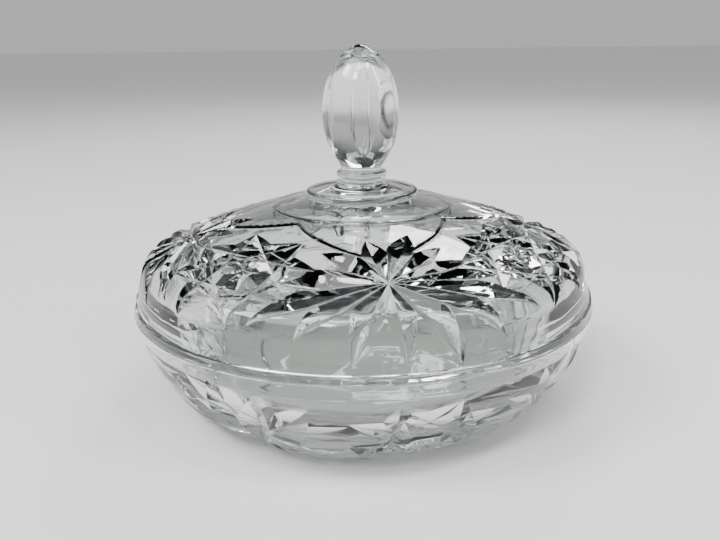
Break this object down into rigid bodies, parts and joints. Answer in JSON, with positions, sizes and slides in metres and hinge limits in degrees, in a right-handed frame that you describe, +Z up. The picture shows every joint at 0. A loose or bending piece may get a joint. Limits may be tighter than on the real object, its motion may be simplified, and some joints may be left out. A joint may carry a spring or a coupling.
{
  "type": "covered powder jar",
  "caption": "Round, low covered jar in clear pressed glass, with a domed lift-off lid, an egg-shaped finial and a daisy and star relief.",
  "frame": {"origin": "centre of the standing ring, on the plane where the jar meets the table", "axes": "+Z up along the jar's axis; the jar's front, with the nearest daisy a little to the right, faces -Y"},
  "size_m": [0.184, 0.184, 0.1366],
  "materials": {
    "bowl_glass": "polished, pressed relief outside",
    "lid_glass": "polished, pressed relief outside"
  },
  "bodies": {
    "bowl": {"bowl": "bowl_glass"},
    "lid": {"lid": "lid_glass"}
  },
  "joints": [
    {"name": "lid_lift", "type": "slide", "parent": "bowl", "child": "lid", "axis": [0, 0, 1], "range_m": [0, 0.1]}
  ]
}
